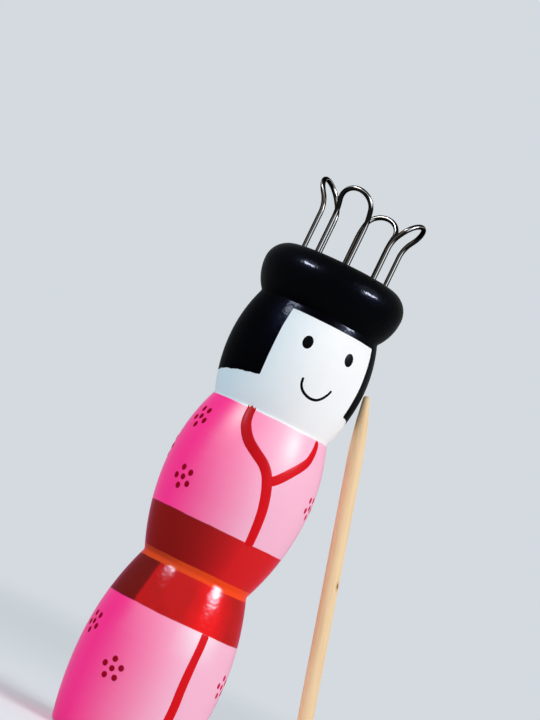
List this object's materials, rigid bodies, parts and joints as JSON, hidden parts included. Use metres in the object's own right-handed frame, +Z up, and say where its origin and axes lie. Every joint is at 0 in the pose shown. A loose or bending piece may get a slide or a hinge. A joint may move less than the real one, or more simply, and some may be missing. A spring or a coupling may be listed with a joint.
{
  "type": "knitting nancy",
  "caption": "Turned wooden doll, bored through, with bent wire staples in its hat for knitting a cord round, and a loose wooden needle leaning on it.",
  "frame": {"origin": "centre of the bore at the base, on the surface that the doll stands on", "axes": "+Z up the bore towards the staples, -Y towards the painted face, +X to the side where the needle leans"},
  "size_m": [0.0643, 0.0382, 0.1524],
  "materials": {
    "painted_wood": "gloss lacquer over turned hardwood",
    "nickel_wire": "nickel-plated steel wire",
    "bare_birch": "sanded, unvarnished birch"
  },
  "bodies": {
    "doll": {"turned_body": "painted_wood", "staple_front_left": "nickel_wire", "staple_front_right": "nickel_wire", "staple_back_right": "nickel_wire", "staple_back_left": "nickel_wire"},
    "needle": {"needle": "bare_birch"}
  },
  "joints": [
    {"name": "needle_lift", "type": "slide", "parent": "doll", "child": "needle", "axis": [0.4658, -0.1816, 0.866], "range_m": [0, 0.1]}
  ]
}
